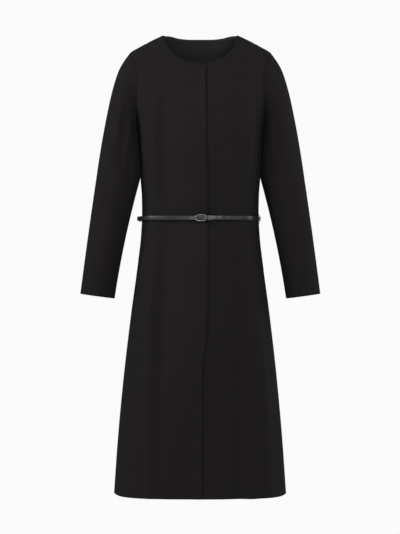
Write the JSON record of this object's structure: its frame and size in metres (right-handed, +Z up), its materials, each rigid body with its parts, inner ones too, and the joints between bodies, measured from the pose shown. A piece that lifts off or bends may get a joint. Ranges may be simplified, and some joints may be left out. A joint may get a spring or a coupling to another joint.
{
  "type": "belted coat",
  "caption": "Collarless long coat in its worn hollow form, with open neck, cuffs and hem, lapped front and a narrow buckled belt at the waist.",
  "frame": {"origin": "midway between the two neck points, where the shoulder seams meet the neck edge and the wearer's shoulders hold the coat up", "axes": "+X towards the wearer's left, -Y out of the front, +Z up"},
  "size_m": [0.609, 0.3411, 1.165],
  "materials": {
    "black_wool": "matt brushed wool",
    "black_wool_facing": "matt wool",
    "black_leather": "smooth, semi-gloss",
    "polished_metal": "polished"
  },
  "bodies": {
    "root": {"front_right_bodice": "black_wool", "front_right_skirt": "black_wool", "front_left_bodice": "black_wool", "front_left_skirt": "black_wool", "side_front_right_bodice": "black_wool", "side_front_right_skirt": "black_wool", "side_front_left_bodice": "black_wool", "side_front_left_skirt": "black_wool", "back_right_bodice": "black_wool", "back_right_skirt": "black_wool", "back_left_bodice": "black_wool", "back_left_skirt": "black_wool", "sleeve_upper_right": "black_wool", "sleeve_upper_left": "black_wool", "sleeve_under_right": "black_wool", "sleeve_under_left": "black_wool", "belt_carrier_right": "black_wool", "belt_carrier_left": "black_wool", "back_neck_facing": "black_wool_facing", "belt_strap": "black_leather", "belt_keeper": "black_leather", "belt_buckle_frame": "polished_metal", "belt_prong": "polished_metal"}
  },
  "joints": []
}
